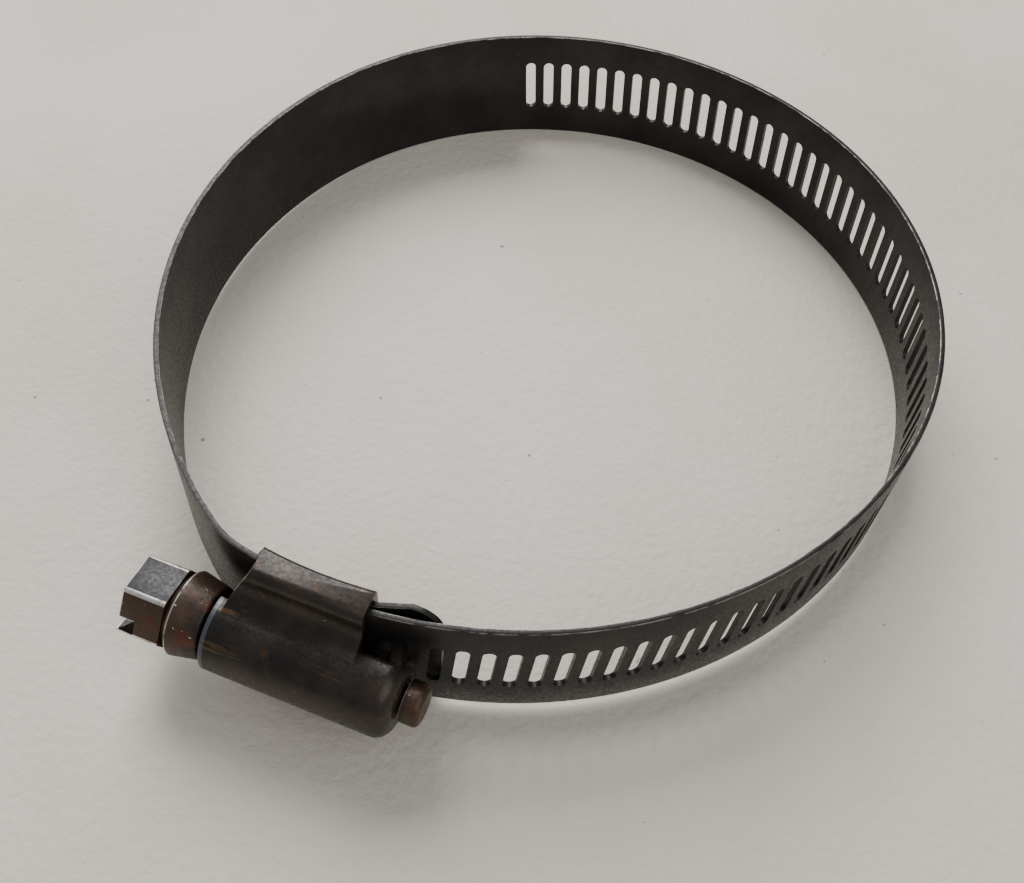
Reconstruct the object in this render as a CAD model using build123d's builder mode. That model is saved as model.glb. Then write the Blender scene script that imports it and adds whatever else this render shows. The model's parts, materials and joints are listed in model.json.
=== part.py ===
from build123d import *
import os
from math import atan2, ceil, cos, degrees, floor, hypot, pi, radians, sin, sqrt, tan

# Worm-drive pipe clamp: a slotted spring-steel band whose two ends overlap inside
# a formed steel housing, and a captive worm screw that draws the slotted end through.
#
# Frame: Z is the axis of the pipe that is clamped, with z = 0 at the middle of the
# band's width. The origin is on the axis of the clamping bore, which is the centre of
# the band's large arc. The housing and its screw are at -Y, with the screw along +X,
# from its hexagon head to its riveted tip. All sizes are in millimetres.

# ---- Band strip ----
band_width = 15.875
band_thickness = 0.6
slot_pitch = 2.54  # ten slots to the inch, and also the lead of the worm thread
slot_length = 7.5
slot_width = 1.36
slot_lean = 3.8  # degrees, follows the right-hand thread
slot_phase = 0.6  # where the first slot right of the housing's middle lies, in pitches
slotted_share = 0.61  # of the ring's length, from the housing's middle, that has slots
last_slot = -2  # the slot nearest the slotted strip's end
end_margin = 1.7  # from that slot's middle to the end
tail_corner = 5.0
flex_gap = 0.3  # saw cut between two neighbouring spans of the strip

# ---- Ring, as arcs of the strip's middle surface ----
bore_radius = 43.2
seat_swell = 7.6  # the seat arc, through the housing, is this much larger than the bore
blank_swell = 8.3  # and so is the arc on the side of the ring that has no slots
corner_radius = 12.0  # where the blank strip turns away from the housing
seat_bearing = -8.5  # degrees, from the seat arc's centre to the bore's centre
corner_bearing = -9.8  # degrees, from the housing's middle to that corner
strip_clearance = 0.25  # between the slotted strip and the blank strip inside it

# ---- Tongue: the blank strip's end, which runs on past the housing ----
tongue_margin = 0.4  # past the wings, before the tongue lifts off the slotted strip
tongue_crease = 9.2
tongue_end = 12.3
tongue_lift = 0.65  # clear height under the crease
tongue_tip_clearance = 0.25
tongue_corner = 2.5

# ---- Worm screw ----
thread_radius = 3.55
thread_root_radius = 2.7
thread_depth_in_slot = 0.5
thread_foot_width = 1.05
thread_crest_width = 0.5
thread_sink = 0.15  # how far the ridge is sunk in the core
neck_taper_length = 1.05  # from the core down to the neck
hex_across_flats = 7.94
hex_length = 4.5
hex_corner_angle = 52.3  # degrees from +Y towards +Z
driver_slot_width = 1.25
driver_slot_depth = 1.7
driver_slot_angle = 162.0  # degrees from +Y towards +Z
collar_radius = 4.45
collar_back_radius = 3.8  # the collar tapers, so that the strip's end passes under it
collar_length = 3.9
collar_chamfer = 0.7
collar_back_round = 0.4
collar_gap = 0.5  # between the collar and the barrel's mouth
neck_radius = 1.35
neck_clearance = 0.08  # radial, in the barrel's closed end
tip_radius = 2.2
tip_length = 2.0
tip_round = 0.6
tip_gap = 0.3  # between the riveted tip and the barrel's closed end

# ---- Housing ----
sheet = 0.75
thread_clearance = 0.15  # radial, inside the barrel
barrel_left = -9.5
barrel_right = 10.3
shoulder_round = 1.7
wing_left = -6.4  # at the fold
wing_right = 5.3
wing_left_slant = 26.0  # degrees, the left edge leans towards the head at the barrel
wing_clearance = 0.3  # above the slotted strip
side_clearance = 0.25  # beside the strip's edges
wing_root_round = 3.0  # the wings flare out of the barrel in a wide hollow curve
fold_round = 1.15
lip_round = 0.6
lip_length = 2.6

# ---- Flex points: stations of the strip where neighbouring spans meet ----
# Stations run along the strip's middle surface, from the housing's middle, first to
# the right and then round the ring. Those in the slotted part are between two slots.
flex_slot_shares = (0.273, 0.621)  # of the slots beyond the housing, before each cut
flex_ring_shares = (0.742, 0.8911)  # of the ring's length, on the side with no slots


def polar(centre, radius, angle):
    """Point at a radius and an angle in degrees about a centre, in the plane z = 0."""
    return (
        centre[0] + radius * cos(radians(angle)),
        centre[1] + radius * sin(radians(angle)),
    )


def bearing(start, end):
    """Direction from one point to another, in degrees from 0 to 360."""
    return degrees(atan2(end[1] - start[1], end[0] - start[0])) % 360


def left_crossing(first, first_radius, second, second_radius):
    """The crossing of two circles that lies to the left, towards +X of the ring."""
    span = hypot(second[0] - first[0], second[1] - first[1])
    along = (span**2 + first_radius**2 - second_radius**2) / (2 * span)
    aside = sqrt(first_radius**2 - along**2)
    ahead = bearing(first, second)
    foot = polar(first, along, ahead)
    crossings = (polar(foot, aside, ahead + 90), polar(foot, aside, ahead - 90))
    return max(crossings)


# ---- Derived radii and centres ----
half_width = band_width / 2
half_thickness = band_thickness / 2
bore_arc_radius = bore_radius + half_thickness
seat_radius = bore_radius + seat_swell
blank_radius = bore_radius + blank_swell
tail_reach = end_margin - (last_slot + slot_phase) * slot_pitch
layer_step = band_thickness + strip_clearance  # from the slotted strip to the blank one
liner_radius = seat_radius - layer_step

bore_centre = (0.0, 0.0)
seat_centre = polar(bore_centre, seat_radius - bore_arc_radius, seat_bearing + 180)
corner_angle = 270 + corner_bearing
corner_centre = polar(seat_centre, liner_radius - corner_radius, corner_angle)
blank_centre = left_crossing(
    bore_centre, blank_radius - bore_arc_radius, corner_centre, blank_radius - corner_radius
)
blank_start_angle = bearing(blank_centre, bore_centre)
blank_end_angle = bearing(blank_centre, corner_centre)

# The ring as (centre, radius, first angle, last angle), each arc counter-clockwise.
ring_arcs = [
    (seat_centre, seat_radius, 270.0, 360.0 + seat_bearing),
    (bore_centre, bore_arc_radius, seat_bearing, blank_start_angle),
    (blank_centre, blank_radius, blank_start_angle, blank_end_angle),
    (corner_centre, corner_radius, blank_end_angle, corner_angle),
]
ring_lengths = [radius * radians(last - first) for _, radius, first, last in ring_arcs]
ring_end = sum(ring_lengths)
slots_beyond_housing = round(slotted_share * ring_end / slot_pitch)


def pieces_between(first_station, last_station):
    """The parts of the ring's arcs between two stations."""
    pieces = []
    start = 0.0
    for (centre, radius, first, last), length in zip(ring_arcs, ring_lengths):
        low = max(first_station, start) if start > 0 else first_station
        high = min(last_station, start + length)
        if high - low > 1e-6:
            low_angle = first + degrees((low - start) / radius)
            high_angle = first + degrees((high - start) / radius)
            pieces.append((centre, radius, low_angle, high_angle))
        start += length
    return pieces


def strip_plane(station):
    """Plane in the strip's middle surface: x along the strip, y along Z, z outwards."""
    centre, radius, _, angle = pieces_between(station - 0.01, station)[-1]
    outwards = (cos(radians(angle)), sin(radians(angle)), 0)
    along = (-sin(radians(angle)), cos(radians(angle)), 0)
    x, y = polar(centre, radius, angle)
    return Plane(origin=(x, y, 0), x_dir=along, z_dir=outwards)


def middle_line(pieces):
    """The middle line of the strip along the given arcs."""
    return [
        CenterArc(centre, radius, low_angle, high_angle - low_angle, mode=Mode.PRIVATE)
        for centre, radius, low_angle, high_angle in pieces
    ]


def slot_stations(first_station, last_station):
    """Middles of the slots that lie wholly between two stations."""
    stations = [(k + slot_phase) * slot_pitch for k in range(last_slot, slots_beyond_housing)]
    reach = slot_width / 2 + slot_length / 2 * sin(radians(slot_lean)) + flex_gap / 2
    return [s for s in stations if first_station + reach < s < last_station - reach]


def end_corners(span, end_point):
    """The two short edges across the strip's thickness at its end."""
    across = span.edges().filter_by(lambda edge: abs(edge.length - band_thickness) < 1e-6)
    return across.sort_by_distance(end_point)[:2]


def build_span(first_station, last_station):
    """One span of the strip, with its slots, between two stations."""
    with BuildPart() as span:
        with BuildSketch():
            trace(middle_line(pieces_between(first_station, last_station)), line_width=band_thickness)
        extrude(amount=half_width, both=True)
        slots = slot_stations(first_station, last_station)
        if slots:
            with BuildSketch(*[strip_plane(station) for station in slots]):
                SlotOverall(slot_length, slot_width, rotation=90 - slot_lean)
            extrude(amount=2 * band_thickness, both=True, mode=Mode.SUBTRACT)
    return span


# ---- Flex points and spans ----
flex_slots = [round(share * slots_beyond_housing) for share in flex_slot_shares]
flex_stations = [(k + slot_phase + 0.5) * slot_pitch for k in flex_slots]
flex_stations += [share * ring_end for share in flex_ring_shares]
os.makedirs("parts", exist_ok=True)

for station in flex_stations:
    point = strip_plane(station).origin
    print("flex point at station %.3f: x %.4f y %.4f" % (station, point.X, point.Y))
print("ring end at %.3f, seat centre %.4f %.4f" % (ring_end, *seat_centre))

# ---- Tail span: the slotted end that the worm draws through the housing ----
tail_edge = flex_stations[0] - flex_gap / 2
with BuildPart() as band_tail:
    with BuildSketch():
        trace(middle_line(pieces_between(-tail_reach, tail_edge)), line_width=band_thickness)
    extrude(amount=half_width, both=True)
    fillet(end_corners(band_tail, strip_plane(-tail_reach).origin), radius=tail_corner)
    with BuildSketch(*[strip_plane(s) for s in slot_stations(-tail_reach, tail_edge)]):
        SlotOverall(slot_length, slot_width, rotation=90 - slot_lean)
    extrude(amount=2 * band_thickness, both=True, mode=Mode.SUBTRACT)
band_tail.part.label = "band_tail_span"
export_step(band_tail.part, "parts/band_tail_span.step")

# ---- Spans between the flex points ----
span_names = ["band_slotted_span", "band_middle_span", "band_blank_span"]
for name, first_station, last_station in zip(span_names, flex_stations, flex_stations[1:]):
    span = build_span(first_station + flex_gap / 2, last_station - flex_gap / 2)
    span.part.label = name
    export_step(span.part, "parts/%s.step" % name)

# ---- Anchored span: from the last flex point, through the housing, to the tongue ----
tongue_start_angle = 270 + degrees((wing_right + tongue_margin) / liner_radius)
tongue_points = [
    polar(seat_centre, liner_radius, tongue_start_angle),
    polar(seat_centre, liner_radius - tongue_lift, 270 + degrees(tongue_crease / seat_radius)),
    polar(
        seat_centre,
        seat_radius - band_thickness - tongue_tip_clearance,
        270 + degrees(tongue_end / seat_radius),
    ),
]
anchor_pieces = pieces_between(flex_stations[-1] + flex_gap / 2, ring_end)
anchor_pieces.append((seat_centre, liner_radius, corner_angle, tongue_start_angle))
tongue_lines = [Line(tongue_points[0], tongue_points[1]), Line(tongue_points[1], tongue_points[2])]
with BuildPart() as band_anchor:
    with BuildSketch():
        trace(middle_line(anchor_pieces) + tongue_lines, line_width=band_thickness)
    extrude(amount=half_width, both=True)
    fillet(end_corners(band_anchor, Vector(*tongue_points[-1])), radius=tongue_corner)
band_anchor.part.label = "band_anchor_span"
export_step(band_anchor.part, "parts/band_anchor_span.step")

# ---- Screw axis, from the strip's outer face at the housing's middle ----
seat_x = seat_centre[0]
strip_outer_radius = seat_radius + half_thickness
screw_y = seat_centre[1] - strip_outer_radius - thread_radius + thread_depth_in_slot
screw_axis = Axis((seat_x, screw_y, 0), (1, 0, 0))


def across_screw(offset):
    """Plane square to the screw, at an offset from the housing's middle."""
    return Plane(origin=(seat_x + offset, screw_y, 0), x_dir=(0, 1, 0), z_dir=(1, 0, 0))


# ---- Housing: one sheet, rolled over the screw and folded round the strip ----
barrel_bore = thread_radius + thread_clearance
barrel_radius = barrel_bore + sheet
slotted_outer_y = seat_centre[1] - strip_outer_radius
wing_level = slotted_outer_y - wing_clearance - sheet - screw_y  # above the screw's axis
fold_half_width = half_width + side_clearance + sheet
liner_face_radius = liner_radius - half_thickness
lip_face_radius = liner_face_radius - sheet
skirt_depth = 12.0  # the skirt is drawn this deep, then trimmed to the lips' arc
passage_reach = 14.0  # half the length over which the strip's passage is cut
cut_height = 2 * band_width  # taller than the housing
ring_core = 1.0  # inner radius of a ring that is solid wherever the housing is
hollow_overrun = 1.0  # the wings' hollow runs out past the barrel's mouth


def seat_ring(inner_radius, outer_radius, half_height):
    """Ring about the seat arc's centre, kept where the housing is."""
    with BuildPart() as ring:
        with BuildSketch():
            with Locations(seat_centre):
                Circle(outer_radius)
                Circle(inner_radius, mode=Mode.SUBTRACT)
            with Locations((seat_x, seat_centre[1] - seat_radius)):
                Rectangle(2 * passage_reach, 2 * skirt_depth, mode=Mode.INTERSECT)
        extrude(amount=half_height, both=True)
    return ring.part


def wing_block(shell_offset, start, stop):
    """The wings' section, drawn in by an offset and run along the screw."""
    with BuildPart() as block:
        with BuildSketch(across_screw(start)) as section:
            Circle(barrel_radius)
            with Locations((wing_level, 0)):
                Rectangle(skirt_depth, 2 * fold_half_width, align=(Align.MIN, Align.CENTER))
            near_barrel = section.vertices().filter_by(lambda v: abs(v.Y) < barrel_radius)
            fillet(near_barrel.group_by(Axis.X)[0], radius=wing_root_round)
            at_folds = section.vertices().filter_by(lambda v: abs(v.Y) > fold_half_width - 0.01)
            fillet(at_folds.group_by(Axis.X)[0], radius=fold_round)
            if shell_offset:
                offset(amount=-shell_offset, mode=Mode.REPLACE)
        extrude(amount=stop - start)
    return block.part


barrel_inner_end = barrel_right - sheet
below_lips = seat_ring(ring_core, lip_face_radius, cut_height)
below_liner = seat_ring(ring_core, liner_face_radius, cut_height)
passage = seat_ring(
    liner_face_radius, strip_outer_radius + wing_clearance, half_width + side_clearance
)
wing_inside = wing_block(sheet, barrel_left - hollow_overrun, barrel_inner_end) - below_liner
barrel_meets_slant = fold_half_width - (wing_left - barrel_left) / tan(radians(wing_left_slant))

with BuildPart() as wings:
    add(wing_block(0, barrel_left, barrel_inner_end) - below_lips)
    # The wings end in a slanted edge towards the head and a square one towards the tip.
    with BuildSketch(Plane.XZ.offset(-slotted_outer_y - skirt_depth)):
        with BuildLine():
            Polyline(
                (seat_x + wing_right, -fold_half_width),
                (seat_x + wing_right, fold_half_width),
                (seat_x + wing_left, fold_half_width),
                (seat_x + barrel_left, barrel_meets_slant),
                (seat_x + barrel_left, -barrel_meets_slant),
                (seat_x + wing_left, -fold_half_width),
                close=True,
            )
        make_face()
    extrude(amount=3 * skirt_depth, mode=Mode.INTERSECT)
    lip_edges = wings.edges().filter_by(lambda e: abs(abs(e.center().Z) - fold_half_width) < 0.01)
    fillet(lip_edges.sort_by(Axis.Y)[-2:], radius=lip_round)

with BuildPart() as barrel_hollow:
    with BuildSketch(across_screw(barrel_left)):
        Circle(barrel_bore)
    extrude(amount=barrel_inner_end - barrel_left)
    inner_end = barrel_hollow.edges().filter_by(GeomType.CIRCLE).sort_by(Axis.X)[-1]
    fillet(inner_end, radius=shoulder_round - sheet)

with BuildPart() as housing:
    with BuildSketch(across_screw(barrel_left)):
        Circle(barrel_radius)
    extrude(amount=barrel_right - barrel_left)
    shoulder = housing.edges().filter_by(GeomType.CIRCLE).sort_by(Axis.X)[-1]
    fillet(shoulder, radius=shoulder_round)
    add(wings.part)
    add(barrel_hollow.part, mode=Mode.SUBTRACT)
    add(wing_inside, mode=Mode.SUBTRACT)
    add(passage, mode=Mode.SUBTRACT)
    # The lips leave the middle of the liner bare.
    with BuildSketch(Plane.XY):
        with Locations((seat_x, slotted_outer_y + skirt_depth / 2)):
            Rectangle(2 * passage_reach, skirt_depth)
    extrude(amount=half_width - lip_length, both=True, mode=Mode.SUBTRACT)
    with BuildSketch(across_screw(barrel_inner_end)):
        Circle(neck_radius + neck_clearance)
    extrude(amount=2 * sheet, mode=Mode.SUBTRACT)
housing.part.label = "housing"
export_step(housing.part, "parts/housing.step")

# ---- Worm screw ----
collar_back = barrel_left - collar_gap
collar_front = collar_back - collar_length
head_end = collar_front - hex_length
tip_start = barrel_right + tip_gap
tip_end = tip_start + tip_length
core_end = barrel_inner_end - tip_gap - neck_taper_length

# The thread's ridge stands in the slots on the side of the screw that faces the ring.
thread_first_slot = ceil(barrel_left / slot_pitch - slot_phase)
thread_turns = floor(core_end / slot_pitch - slot_phase) - thread_first_slot
thread_base_radius = thread_root_radius - thread_sink
probe = Helix(slot_pitch, slot_pitch, thread_base_radius, direction=(1, 0, 0), mode=Mode.PRIVATE)
probe_turn = atan2((probe @ 0).Z, (probe @ 0).Y) / (2 * pi)
thread_start = (thread_first_slot + slot_phase + probe_turn) * slot_pitch

with BuildPart() as screw:
    with BuildSketch(Plane.XY):
        with BuildLine():
            Polyline(
                (seat_x + collar_front, screw_y),
                (seat_x + collar_front, screw_y - collar_radius + collar_chamfer),
                (seat_x + collar_front + collar_chamfer, screw_y - collar_radius),
                (seat_x + collar_back, screw_y - collar_back_radius),
                (seat_x + collar_back, screw_y - thread_root_radius),
                (seat_x + core_end, screw_y - thread_root_radius),
                (seat_x + barrel_inner_end - tip_gap, screw_y - neck_radius),
                (seat_x + tip_start, screw_y - neck_radius),
                (seat_x + tip_start, screw_y - tip_radius),
                (seat_x + tip_end, screw_y - tip_radius),
                (seat_x + tip_end, screw_y),
                close=True,
            )
        make_face()
    revolve(axis=screw_axis)
    rims = screw.edges().filter_by(GeomType.CIRCLE)
    fillet(rims.filter_by(lambda e: abs(e.center().X - seat_x - tip_end) < 0.01), radius=tip_round)
    back_rims = rims.filter_by(lambda e: abs(e.center().X - seat_x - collar_back) < 0.01)
    fillet(back_rims.sort_by(SortBy.LENGTH)[-1], radius=collar_back_round)
    with BuildSketch(across_screw(collar_front)):
        RegularPolygon(hex_across_flats / 2, 6, major_radius=False, rotation=hex_corner_angle)
    extrude(amount=-hex_length)
    with BuildSketch(across_screw(head_end)):
        Rectangle(4 * collar_radius, driver_slot_width, rotation=driver_slot_angle)
    extrude(amount=driver_slot_depth, mode=Mode.SUBTRACT)
    with BuildLine() as thread_line:
        Helix(
            slot_pitch,
            thread_turns * slot_pitch,
            thread_base_radius,
            center=(seat_x + thread_start, screw_y, 0),
            direction=(1, 0, 0),
        )
    foot = thread_line.line @ 0
    outwards = foot - Vector(foot.X, screw_y, 0)
    with BuildSketch(Plane(origin=foot, x_dir=outwards, z_dir=thread_line.line % 0)):
        with BuildLine():
            Polyline(
                (0, -thread_foot_width / 2),
                (thread_sink, -thread_foot_width / 2),
                (thread_radius - thread_base_radius, -thread_crest_width / 2),
                (thread_radius - thread_base_radius, thread_crest_width / 2),
                (thread_sink, thread_foot_width / 2),
                (0, thread_foot_width / 2),
                close=True,
            )
        make_face()
    sweep(is_frenet=True)
screw.part.label = "screw"
export_step(screw.part, "parts/screw.step")
print("screw axis at y %.4f, head end at x %.4f" % (screw_y, seat_x + head_end))
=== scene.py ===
# %% [markdown]
# # Worm-drive pipe clamp
# The real clamp is three pieces: one strip of blackened spring steel, a folded sheet-steel
# housing, and a worm screw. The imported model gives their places, so this lesson only gives
# them softened edges, an unbroken strip and worn steel finishes.

import json
from math import cos, radians, sin

import bmesh
import bpy
from mathutils import Matrix, Vector
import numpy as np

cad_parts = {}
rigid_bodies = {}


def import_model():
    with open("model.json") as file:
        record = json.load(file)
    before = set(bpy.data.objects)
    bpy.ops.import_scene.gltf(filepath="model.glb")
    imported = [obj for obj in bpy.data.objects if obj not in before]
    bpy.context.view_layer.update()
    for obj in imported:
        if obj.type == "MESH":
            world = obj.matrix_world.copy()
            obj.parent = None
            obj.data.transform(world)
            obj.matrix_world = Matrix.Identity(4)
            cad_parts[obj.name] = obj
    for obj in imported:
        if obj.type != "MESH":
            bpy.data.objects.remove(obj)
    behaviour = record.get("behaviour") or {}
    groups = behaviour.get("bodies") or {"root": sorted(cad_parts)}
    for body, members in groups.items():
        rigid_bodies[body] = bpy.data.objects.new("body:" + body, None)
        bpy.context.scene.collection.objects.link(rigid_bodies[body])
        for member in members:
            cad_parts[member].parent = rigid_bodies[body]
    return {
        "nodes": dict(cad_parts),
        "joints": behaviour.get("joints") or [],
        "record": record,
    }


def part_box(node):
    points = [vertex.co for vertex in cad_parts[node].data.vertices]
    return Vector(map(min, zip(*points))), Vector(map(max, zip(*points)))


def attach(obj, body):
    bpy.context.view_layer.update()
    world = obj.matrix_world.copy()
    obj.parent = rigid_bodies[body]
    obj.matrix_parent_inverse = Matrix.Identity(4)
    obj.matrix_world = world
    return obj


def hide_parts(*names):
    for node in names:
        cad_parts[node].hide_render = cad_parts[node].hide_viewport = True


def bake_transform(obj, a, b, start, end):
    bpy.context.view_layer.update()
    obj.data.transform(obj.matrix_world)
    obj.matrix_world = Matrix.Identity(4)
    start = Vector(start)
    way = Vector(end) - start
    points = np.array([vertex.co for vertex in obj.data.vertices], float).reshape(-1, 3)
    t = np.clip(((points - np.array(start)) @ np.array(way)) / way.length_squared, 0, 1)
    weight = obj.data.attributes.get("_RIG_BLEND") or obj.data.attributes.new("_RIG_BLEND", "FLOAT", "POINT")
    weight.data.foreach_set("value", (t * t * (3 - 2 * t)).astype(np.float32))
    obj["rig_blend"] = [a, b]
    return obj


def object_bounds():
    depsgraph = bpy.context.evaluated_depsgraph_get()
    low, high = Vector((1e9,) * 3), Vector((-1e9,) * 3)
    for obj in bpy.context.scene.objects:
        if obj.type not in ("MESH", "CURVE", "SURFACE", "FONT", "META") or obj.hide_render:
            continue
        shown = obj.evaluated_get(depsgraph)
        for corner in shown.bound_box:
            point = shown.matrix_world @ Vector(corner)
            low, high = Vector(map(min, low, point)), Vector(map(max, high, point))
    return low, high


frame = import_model()
cad_low, cad_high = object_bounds()
joints = {joint["name"]: joint for joint in frame["joints"]}
mounts = {mount["name"]: mount for mount in frame["record"]["mounts"]}
mm = 0.001

# %% [markdown]
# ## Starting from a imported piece
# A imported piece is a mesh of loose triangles. To give it real edges it could be modelled
# again from nothing, but its shape is already right. A copy is merged into one skin
# instead, and bmesh operators then cut, bridge and bevel it. Faces made by a bevel are
# marked with an attribute, so that a finish can show bare metal exactly where an edge rubs.

# %% Copying, bevelling and finishing a mesh
merge_distance = 0.002 * mm
smooth_angle = radians(32)
cut_tolerance = 1e-7


def merged_copy(node):
    """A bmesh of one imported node, merged into a closed skin."""
    mesh = bmesh.new()
    mesh.from_mesh(frame["nodes"][node].data)
    bmesh.ops.remove_doubles(mesh, verts=mesh.verts, dist=merge_distance)
    for layer in ("wear", "rubbed_and_lit"):
        mesh.faces.layers.float.new(layer)
    return mesh


def sharp_edges(mesh, wanted):
    """Edges sharper than the smooth angle whose middle passes a test."""
    found = []
    for edge in mesh.edges:
        if len(edge.link_faces) == 2 and edge.calc_face_angle(0) > smooth_angle:
            if wanted((edge.verts[0].co + edge.verts[1].co) / 2):
                found.append(edge)
    return found


def soften(mesh, edges, size, wear=1.0):
    """Bevel edges, and mark the new faces as worn."""
    made = bmesh.ops.bevel(
        mesh, geom=edges, offset=size, segments=2, profile=0.5,
        affect="EDGES", material=-1, clamp_overlap=True,
    )
    layer = mesh.faces.layers.float["wear"]
    for face in made["faces"]:
        face[layer] = wear


def finish_piece(mesh, name, material):
    """Make the object, shaded smooth except across sharp edges."""
    for face in mesh.faces:
        face.smooth = True
    for edge in mesh.edges:
        edge.smooth = len(edge.link_faces) == 2 and edge.calc_face_angle(0) < smooth_angle
    data = bpy.data.meshes.new(name)
    mesh.to_mesh(data)
    open_edges = sum(1 for edge in mesh.edges if not edge.is_manifold)
    volume_mm3 = round(mesh.calc_volume() / mm ** 3, 1)
    print(name, "faces", len(mesh.faces), "open edges", open_edges, "mm3", volume_mm3)
    mesh.free()
    piece = bpy.data.objects.new(name, data)
    bpy.context.scene.collection.objects.link(piece)
    data.materials.append(material)
    return piece


# %% [markdown]
# ## Colours and nodes
# Colours are written as the sRGB hex values that a paint chart would give, and turned to
# the linear values that the shader works in. Pattern sizes are written in millimetres.

# %% Small helpers for materials
def linear(code):
    """A hex sRGB colour as linear RGBA."""
    parts = [int(code[i:i + 2], 16) / 255 for i in (0, 2, 4)]
    return [p / 12.92 if p <= 0.04045 else ((p + 0.055) / 1.055) ** 2.4 for p in parts] + [1.0]


def per_mm(size):
    """Texture scale whose features are this many millimetres across."""
    return 1 / (size * mm)


def add(tree, kind, inputs=None, **settings):
    """Add a node, with its settings and its values or links."""
    node = tree.nodes.new(kind)
    for key, value in settings.items():
        setattr(node, key, value)
    for key, value in (inputs or {}).items():
        if isinstance(value, bpy.types.NodeSocket):
            tree.links.new(value, node.inputs[key])
        else:
            node.inputs[key].default_value = value
    return node


def start_material(name):
    """A material with only its shader, and the shader's tree and coordinates."""
    material = bpy.data.materials.new(name)
    material.use_nodes = True
    tree = material.node_tree
    tree.nodes.clear()
    shader = add(tree, "ShaderNodeBsdfPrincipled")
    add(tree, "ShaderNodeOutputMaterial", {"Surface": shader.outputs[0]})
    place = add(tree, "ShaderNodeTexCoord").outputs["Object"]
    return material, tree, shader, place


def noise(tree, place, size, detail=4.0, rough=0.55):
    """Noise with features of a size in millimetres."""
    settings = {"Vector": place, "Scale": per_mm(size), "Detail": detail, "Roughness": rough}
    return add(tree, "ShaderNodeTexNoise", settings).outputs[0]


def ramp(tree, value, low, high, start=0.0, end=1.0):
    """A value carried from one range to another, smoothly."""
    numbers = {0: value, 1: low, 2: high, 3: start, 4: end}
    return add(tree, "ShaderNodeMapRange", numbers, interpolation_type="SMOOTHSTEP").outputs[0]


def blend_colour(tree, share, first, second):
    """One colour over another."""
    return add(tree, "ShaderNodeMix", {0: share, 6: first, 7: second}, data_type="RGBA").outputs[2]


def times(tree, first, second):
    """Two masks multiplied."""
    return add(tree, "ShaderNodeMath", {0: first, 1: second}, operation="MULTIPLY").outputs[0]


def worn_steel(
    name, dark, light, rubbed_and_lit_colour, bare, rust, streak,
    rust_amount, streak_amount, roughness, bump_mm, speck_start, wear_start,
):
    """Blackened steel: mottled oxide, rubbed bare on its edges, rust in patches."""
    material, tree, shader, place = start_material(name)
    mottle = ramp(tree, noise(tree, place, 7.0), 0.35, 0.68)
    grain = noise(tree, place, 0.35, detail=3.0)
    colour = blend_colour(tree, mottle, linear(dark), linear(light))
    spread = noise(tree, place, 2.4, detail=7.0, rough=0.65)
    patches = ramp(tree, spread, 0.66 - rust_amount, 0.74 - rust_amount / 2)
    colour = blend_colour(tree, patches, colour, linear(rust))
    stretch = add(tree, "ShaderNodeMapping", {"Vector": place, "Scale": (0.12, 1.0, 1.0)}).outputs[0]
    streaks = ramp(tree, noise(tree, stretch, 1.0, detail=5.0), 0.6, 0.72, end=streak_amount)
    colour = blend_colour(tree, streaks, colour, linear(streak))
    # A face attribute gives some faces one flat colour: rubbed metal on the housing's mouth ring, and painted
    # light on the upward flat of the screw's head.
    rubbed_and_lit = add(tree, "ShaderNodeAttribute", attribute_name="rubbed_and_lit").outputs["Fac"]
    colour = blend_colour(tree, rubbed_and_lit, colour, linear(rubbed_and_lit_colour))
    edge = add(tree, "ShaderNodeAttribute", attribute_name="wear").outputs["Fac"]
    rub = ramp(tree, noise(tree, place, 1.8, detail=6.0), wear_start, wear_start + 0.2)
    rubbed = times(tree, edge, rub)
    specks = ramp(tree, noise(tree, place, 0.5, detail=2.0), speck_start, speck_start + 0.04)
    # Those faces also lose their pits and bump: worn smooth on the mouth ring, and painted light on the screw
    # head's upward flat.
    rough_share = ramp(tree, rubbed_and_lit, 0.0, 1.0, 1.0, 0.0)  # a rubbed face has lost its pits
    specks = times(tree, specks, rough_share)
    bare_metal = add(tree, "ShaderNodeMath", {0: rubbed, 1: specks}, operation="MAXIMUM").outputs[0]
    colour = blend_colour(tree, bare_metal, colour, linear(bare))
    tree.links.new(colour, shader.inputs["Base Color"])
    tree.links.new(ramp(tree, bare_metal, 0, 1, 0.45, 1.0), shader.inputs["Metallic"])
    gloss = ramp(tree, grain, 0.3, 0.7, roughness - 0.08, roughness + 0.12)
    tree.links.new(gloss, shader.inputs["Roughness"])
    height = add(tree, "ShaderNodeMath", {0: grain, 1: patches}, operation="ADD").outputs[0]
    height = times(tree, height, rough_share)
    bump = add(tree, "ShaderNodeBump", {"Height": height, "Distance": bump_mm * mm, "Strength": 0.5})
    tree.links.new(bump.outputs[0], shader.inputs["Normal"])
    return material


# %% [markdown]
# ## Steel finishes
# The strip is spring steel with a hot black oxide: brown-black, satin, and grey where the
# edges rub. The housing has the same oxide, oilier and with brown stains. The screw has
# lost most of its oxide to rust, with bright metal on the corners that a driver turns.

# %% Strip, housing and screw finishes
strip_steel = worn_steel(
    "black_oxide_spring_steel", dark="191817", light="2a2724", rubbed_and_lit_colour="3c3a38", bare="77726b",
    rust="2e231b", streak="3a3631", streak_amount=0.0, rust_amount=0.0, roughness=0.4, bump_mm=0.01,
    speck_start=0.78, wear_start=0.4,
)
housing_steel = worn_steel(
    "black_oxide_sheet_steel", dark="1f1c19", light="372e26", rubbed_and_lit_colour="6d737a", bare="9a9285", rust="402d1e",
    streak="78592f", streak_amount=0.7, rust_amount=0.09, roughness=0.34, bump_mm=0.015,
    speck_start=0.78, wear_start=0.28,
)
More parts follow.
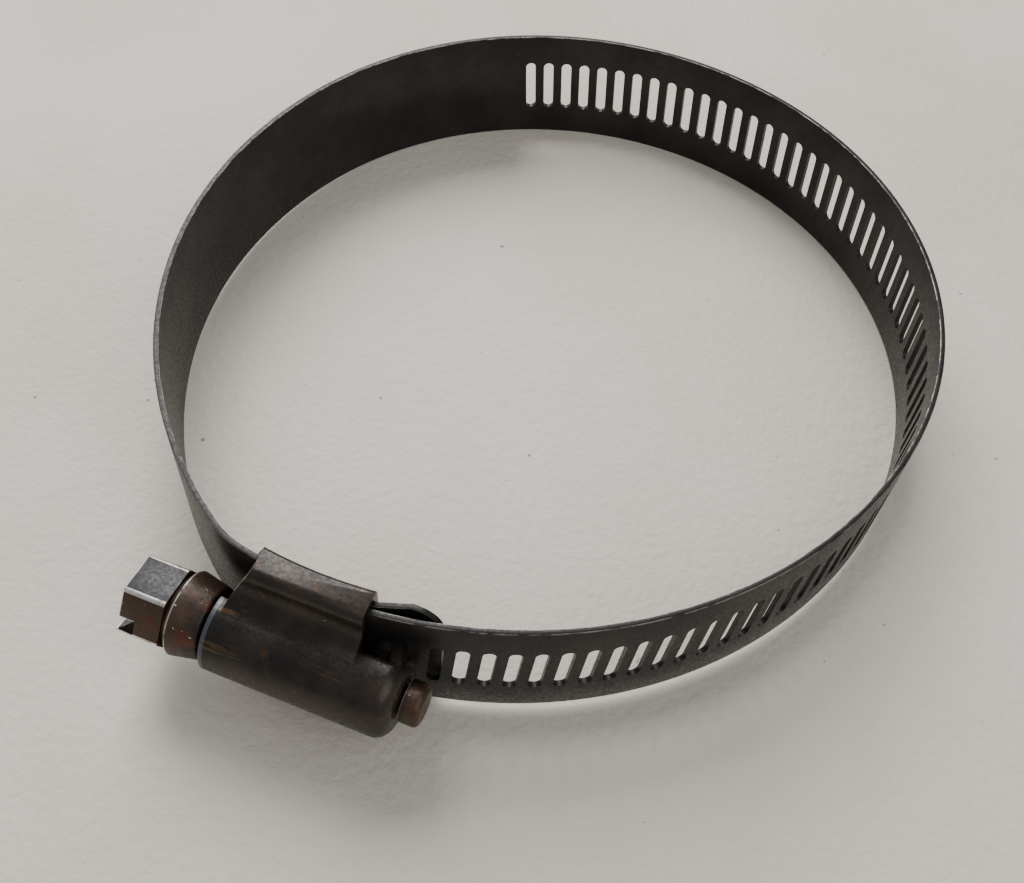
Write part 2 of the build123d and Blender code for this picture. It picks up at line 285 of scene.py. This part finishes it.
# The screw's plain dark grey 2a2a2b is painted light, used on the head's flat that faces up.
screw_steel = worn_steel(
    "rusted_screw_steel", dark="2a211c", light="45352a", rubbed_and_lit_colour="2a2a2b", bare="d6d1c9", rust="542e1c",
    streak="5d4636", streak_amount=0.45, rust_amount=0.17, roughness=0.42, bump_mm=0.05,
    speck_start=0.71, wear_start=0.3,
)

# %% [markdown]
# ## The strip
# The real strip is one springy piece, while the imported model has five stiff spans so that
# it can close. One mesh can only bend between two bodies, so the strip is drawn as four
# pieces, each reaching across one flex point. The spans' facing ends are opened and
# bridged, which closes the saw cut, and the pieces meet where the strip doesn't bend.

# %% Strip pieces, each across one flex point
flex_reach = 9 * mm  # the bend is spread this far to each side of a flex point
end_face_reach = 0.4 * mm  # a span's end face is all within this of its flex point
half_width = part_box("band_middle_span")[1].z
edge_round = 0.1 * mm
rim_margin = 0.01 * mm  # an edge of the strip is within this of its full width
# Bearings about the bore's axis where pieces meet: between two slots, then on plain strip.
slotted_cut, middle_cut, blank_cut = -2.98, 140.0, 191.0


def in_plan(point, hinge):
    """Distance from a hinge's axis, seen along it."""
    return (Vector(point).xy - Vector(hinge).xy).length


def keep_side(mesh, bearing, after):
    """Cut square across the strip, and keep the part after or before the cut."""
    along = Vector((-sin(radians(bearing)), cos(radians(bearing)), 0))
    geometry = mesh.verts[:] + mesh.edges[:] + mesh.faces[:]
    bmesh.ops.bisect_plane(
        mesh, geom=geometry, dist=cut_tolerance, plane_co=(0, 0, 0), plane_no=along,
        clear_inner=after, clear_outer=not after,
    )
    rim = [edge for edge in mesh.edges if edge.is_boundary]
    bmesh.ops.holes_fill(mesh, edges=rim, sides=0)
    print("  cut at", bearing, "degrees, rim edges", len(rim))


def strip_piece(name, first_node, first_cut, second_node, second_cut, joint):
    """Two spans, bridged at the flex point between them and cut back to where the strip is stiff."""
    hinge = joints[joint]["pos_m"]
    mesh = merged_copy(first_node)
    mesh.from_mesh(frame["nodes"][second_node].data)
    bmesh.ops.remove_doubles(mesh, verts=mesh.verts, dist=merge_distance)
    ends = [f for f in mesh.faces if all(in_plan(v.co, hinge) < end_face_reach for v in f.verts)]
    bmesh.ops.delete(mesh, geom=ends, context="FACES")
    rims = [edge for edge in mesh.edges if edge.is_boundary]
    bmesh.ops.bridge_loops(mesh, edges=rims)
    bmesh.ops.recalc_face_normals(mesh, faces=mesh.faces)
    rim_edges = sharp_edges(mesh, lambda p: abs(p.z) > half_width - rim_margin)
    soften(mesh, rim_edges, edge_round)
    # The cuts come after the bevel, so that the rounded edge runs through them unbroken.
    if first_cut is not None:
        keep_side(mesh, first_cut, after=True)
    if second_cut is not None:
        keep_side(mesh, second_cut, after=False)
    piece = finish_piece(mesh, name, strip_steel)
    along = Vector((-hinge[1], hinge[0], 0)).normalized() * flex_reach
    # Bearings grow from the tail to the anchored end, so the tail's side comes first.
    start, end = Vector(hinge) - along, Vector(hinge) + along
    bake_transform(piece, joints[joint]["child"], joints[joint]["parent"], start=start, end=end)
    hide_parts(first_node, second_node)
    return piece


strip_piece(
    "strip_tail", "band_tail_span", None, "band_slotted_span", slotted_cut, "flex_slotted_near",
)
strip_piece(
    "strip_slotted", "band_slotted_span", slotted_cut, "band_middle_span", middle_cut, "flex_slotted_far",
)
strip_piece(
    "strip_blank", "band_middle_span", middle_cut, "band_blank_span", blank_cut, "flex_blank_far",
)
strip_piece(
    "strip_anchored", "band_blank_span", blank_cut, "band_anchor_span", None, "flex_blank_near",
)

# %% [markdown]
# ## The housing
# The real housing is stamped from sheet and folded, so every edge is a little round and
# rubs bright. Its flat faces are made whole again before its sharp edges are bevelled, so
# that a bevel has clean edges to follow.

# %% Housing with rounded sheet edges
flat_angle = radians(0.4)
housing_mesh = merged_copy("housing")
bmesh.ops.dissolve_limit(
    housing_mesh, angle_limit=flat_angle, verts=housing_mesh.verts, edges=housing_mesh.edges,
)
mouth_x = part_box("housing")[0].x
mouth_ring = 0.5 * mm  # the barrel's mouth is rolled over this width, and rubs pale grey
mouth_polish = 0.38
mouth_round, sheet_round = 0.15 * mm, 0.1 * mm
mouth_depth = 0.1 * mm  # the mouth's own edges are within this of its end
whole_housing = housing_mesh.verts[:] + housing_mesh.edges[:] + housing_mesh.faces[:]
bmesh.ops.bisect_plane(
    housing_mesh, geom=whole_housing, dist=cut_tolerance,
    plane_co=(mouth_x + mouth_ring, 0, 0), plane_no=(1, 0, 0),
)
rubbed_and_lit = housing_mesh.faces.layers.float["rubbed_and_lit"]
ring_faces = [f for f in housing_mesh.faces if f.calc_center_median().x < mouth_x + mouth_ring]
for face in ring_faces:
    face[rubbed_and_lit] = mouth_polish
print("mouth ring faces", len(ring_faces))
mouth_edges = sharp_edges(housing_mesh, lambda p: p.x < mouth_x + mouth_depth)
soften(housing_mesh, mouth_edges, mouth_round, wear=0.0)
sheet_edges = sharp_edges(housing_mesh, lambda p: p.x > mouth_x + mouth_ring)
soften(housing_mesh, sheet_edges, sheet_round)
housing_piece = finish_piece(housing_mesh, "housing_shell", housing_steel)
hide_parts("housing")
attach(housing_piece, "clamp_base")

# %% [markdown]
# ## The screw
# The head has been turned by many drivers: its corners are rounded and bright. Only the
# head, collar and tip show, so those edges are bevelled and the thread is left as it is.

# %% Screw with worn corners
head_mount = Vector(mounts["screw_head"]["pos_m"])
head_length = 4.5 * mm
corner_round, rim_round, collar_round = 0.3 * mm, 0.15 * mm, 0.1 * mm
collar_wear = 0.6
# Share of painted light, a plain dark grey, on the head's flat that faces up.
upward_flat_painted_light = 0.95
facing_up = 0.8  # a face whose normal's height is over this faces up
long_share = 0.8  # a corner runs along more than this share of the head
same_edge = 0.05 * mm
collar_clearance = 1 * mm
housing_end_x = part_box("housing")[1].x
screw_mesh = merged_copy("screw")
bmesh.ops.dissolve_limit(
    screw_mesh, angle_limit=flat_angle, verts=screw_mesh.verts, edges=screw_mesh.edges,
)
rubbed_and_lit = screw_mesh.faces.layers.float["rubbed_and_lit"]
for face in screw_mesh.faces:
    # The flat that faces up is painted a plain dark grey without pits: painted light standing for how the
    # window light falls on that face.
    if face.calc_center_median().x < head_mount.x + head_length and face.normal.z > facing_up:
        face[rubbed_and_lit] = upward_flat_painted_light
head_corners = [
    (edge.verts[0].co + edge.verts[1].co) / 2
    for edge in sharp_edges(screw_mesh, lambda p: p.x < head_mount.x + head_length)
    if abs(edge.verts[0].co.x - edge.verts[1].co.x) > long_share * head_length
]
for middle in head_corners:
    # One at a time, because the thin wall beside the driver slot would limit them all.
    corner = sharp_edges(screw_mesh, lambda p: (p - middle).length < same_edge)
    soften(screw_mesh, corner, corner_round)
head_rims = sharp_edges(screw_mesh, lambda p: p.x < head_mount.x + long_share * head_length)
soften(screw_mesh, head_rims, rim_round)
print("head corners", len(head_corners), "head rims", len(head_rims))
collar_start_x = head_mount.x + head_length
collar_end_x = mouth_x - collar_clearance
other_edges = sharp_edges(
    screw_mesh, lambda p: collar_start_x < p.x < collar_end_x or p.x > housing_end_x
)
soften(screw_mesh, other_edges, collar_round, wear=collar_wear)
screw_piece = finish_piece(screw_mesh, "worm_screw", screw_steel)
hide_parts("screw")
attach(screw_piece, "worm")

# %% [markdown]
# ## Floor
# The clamp lies on a pale painted board. It rests on the housing's fold at the front and on
# the strip's edge at the back, so the floor under it is tilted by a little over half a degree.

# %% Floor
floor_material, tree, shader, place = start_material("matt_painted_board")
tone = blend_colour(tree, ramp(tree, noise(tree, place, 45.0), 0.3, 0.7), linear("d2c9bb"), linear("ddd5c8"))
specks = ramp(tree, noise(tree, place, 1.6, detail=2.0), 0.76, 0.8)
tree.links.new(blend_colour(tree, specks, tone, linear("8f8a83")), shader.inputs["Base Color"])
shader.inputs["Roughness"].default_value = 0.62
pebble = noise(tree, place, 1.1)
texture = add(tree, "ShaderNodeBump", {"Height": pebble, "Distance": 0.4 * mm, "Strength": 0.55})
tree.links.new(texture.outputs[0], shader.inputs["Normal"])

front_y, back_y = -50 * mm, 44 * mm
front_z, back_z = cad_low[2], -half_width
slope = (back_z - front_z) / (back_y - front_y)
floor_mesh = bmesh.new()
bmesh.ops.create_grid(floor_mesh, x_segments=1, y_segments=1, size=1.2)
for vert in floor_mesh.verts:
    vert.co.z = front_z + slope * (vert.co.y - front_y)
floor_data = bpy.data.meshes.new("floor")
floor_mesh.to_mesh(floor_data)
floor_mesh.free()
floor_data.materials.append(floor_material)
floor = bpy.data.objects.new("floor", floor_data)
bpy.context.scene.collection.objects.link(floor)

# %% [markdown]
# ## Light and camera
# A large soft window lights the clamp from behind, and a weaker lamp fills the near side.
# The camera looks down from the front at the screw, close enough that the ring recedes.

# %% Light and camera
def facing(eye, target, roll=0.0):
    """Placement at a point, looking at another, turned by a roll in degrees."""
    turn = (Vector(target) - Vector(eye)).to_track_quat("-Z", "Y").to_matrix().to_4x4()
    return Matrix.Translation(eye) @ turn @ Matrix.Rotation(radians(roll), 4, "Z")


def soft_light(name, place, power, size):
    lamp = bpy.data.lights.new(name, "AREA")
    lamp.energy, lamp.size = power, size
    lamp_object = bpy.data.objects.new(name, lamp)
    lamp_object.matrix_world = facing(place, (0, 0, 0))
    bpy.context.scene.collection.objects.link(lamp_object)


soft_light("window", (-0.35, 0.45, 0.6), 9.0, 0.55)
soft_light("fill", (0.5, -0.3, 0.7), 3.0, 0.8)
world = bpy.data.worlds.new("room")
world.use_nodes = True
world.node_tree.nodes["Background"].inputs[0].default_value = linear("dfe3e8")
world.node_tree.nodes["Background"].inputs[1].default_value = 0.45
bpy.context.scene.world = world

view_target = Vector((-0.09, -15.13, -7.94)) * mm
view_azimuth, view_elevation, view_roll = radians(17), radians(54.35), 5.4
view_distance = 140.59 * mm
outward = Vector((
    sin(view_azimuth) * cos(view_elevation), -cos(view_azimuth) * cos(view_elevation), sin(view_elevation)
))
camera_data = bpy.data.cameras.new("camera")
sensor_width, lens_length = 36.0, 41.1
camera_data.sensor_width, camera_data.lens = sensor_width, lens_length
camera_data.clip_start = 1 * mm
camera = bpy.data.objects.new("camera", camera_data)
camera.matrix_world = facing(view_target + outward * view_distance, view_target, view_roll)
bpy.context.scene.collection.objects.link(camera)
bpy.context.scene.camera = camera

# %% Update the scene
bpy.context.view_layer.update()
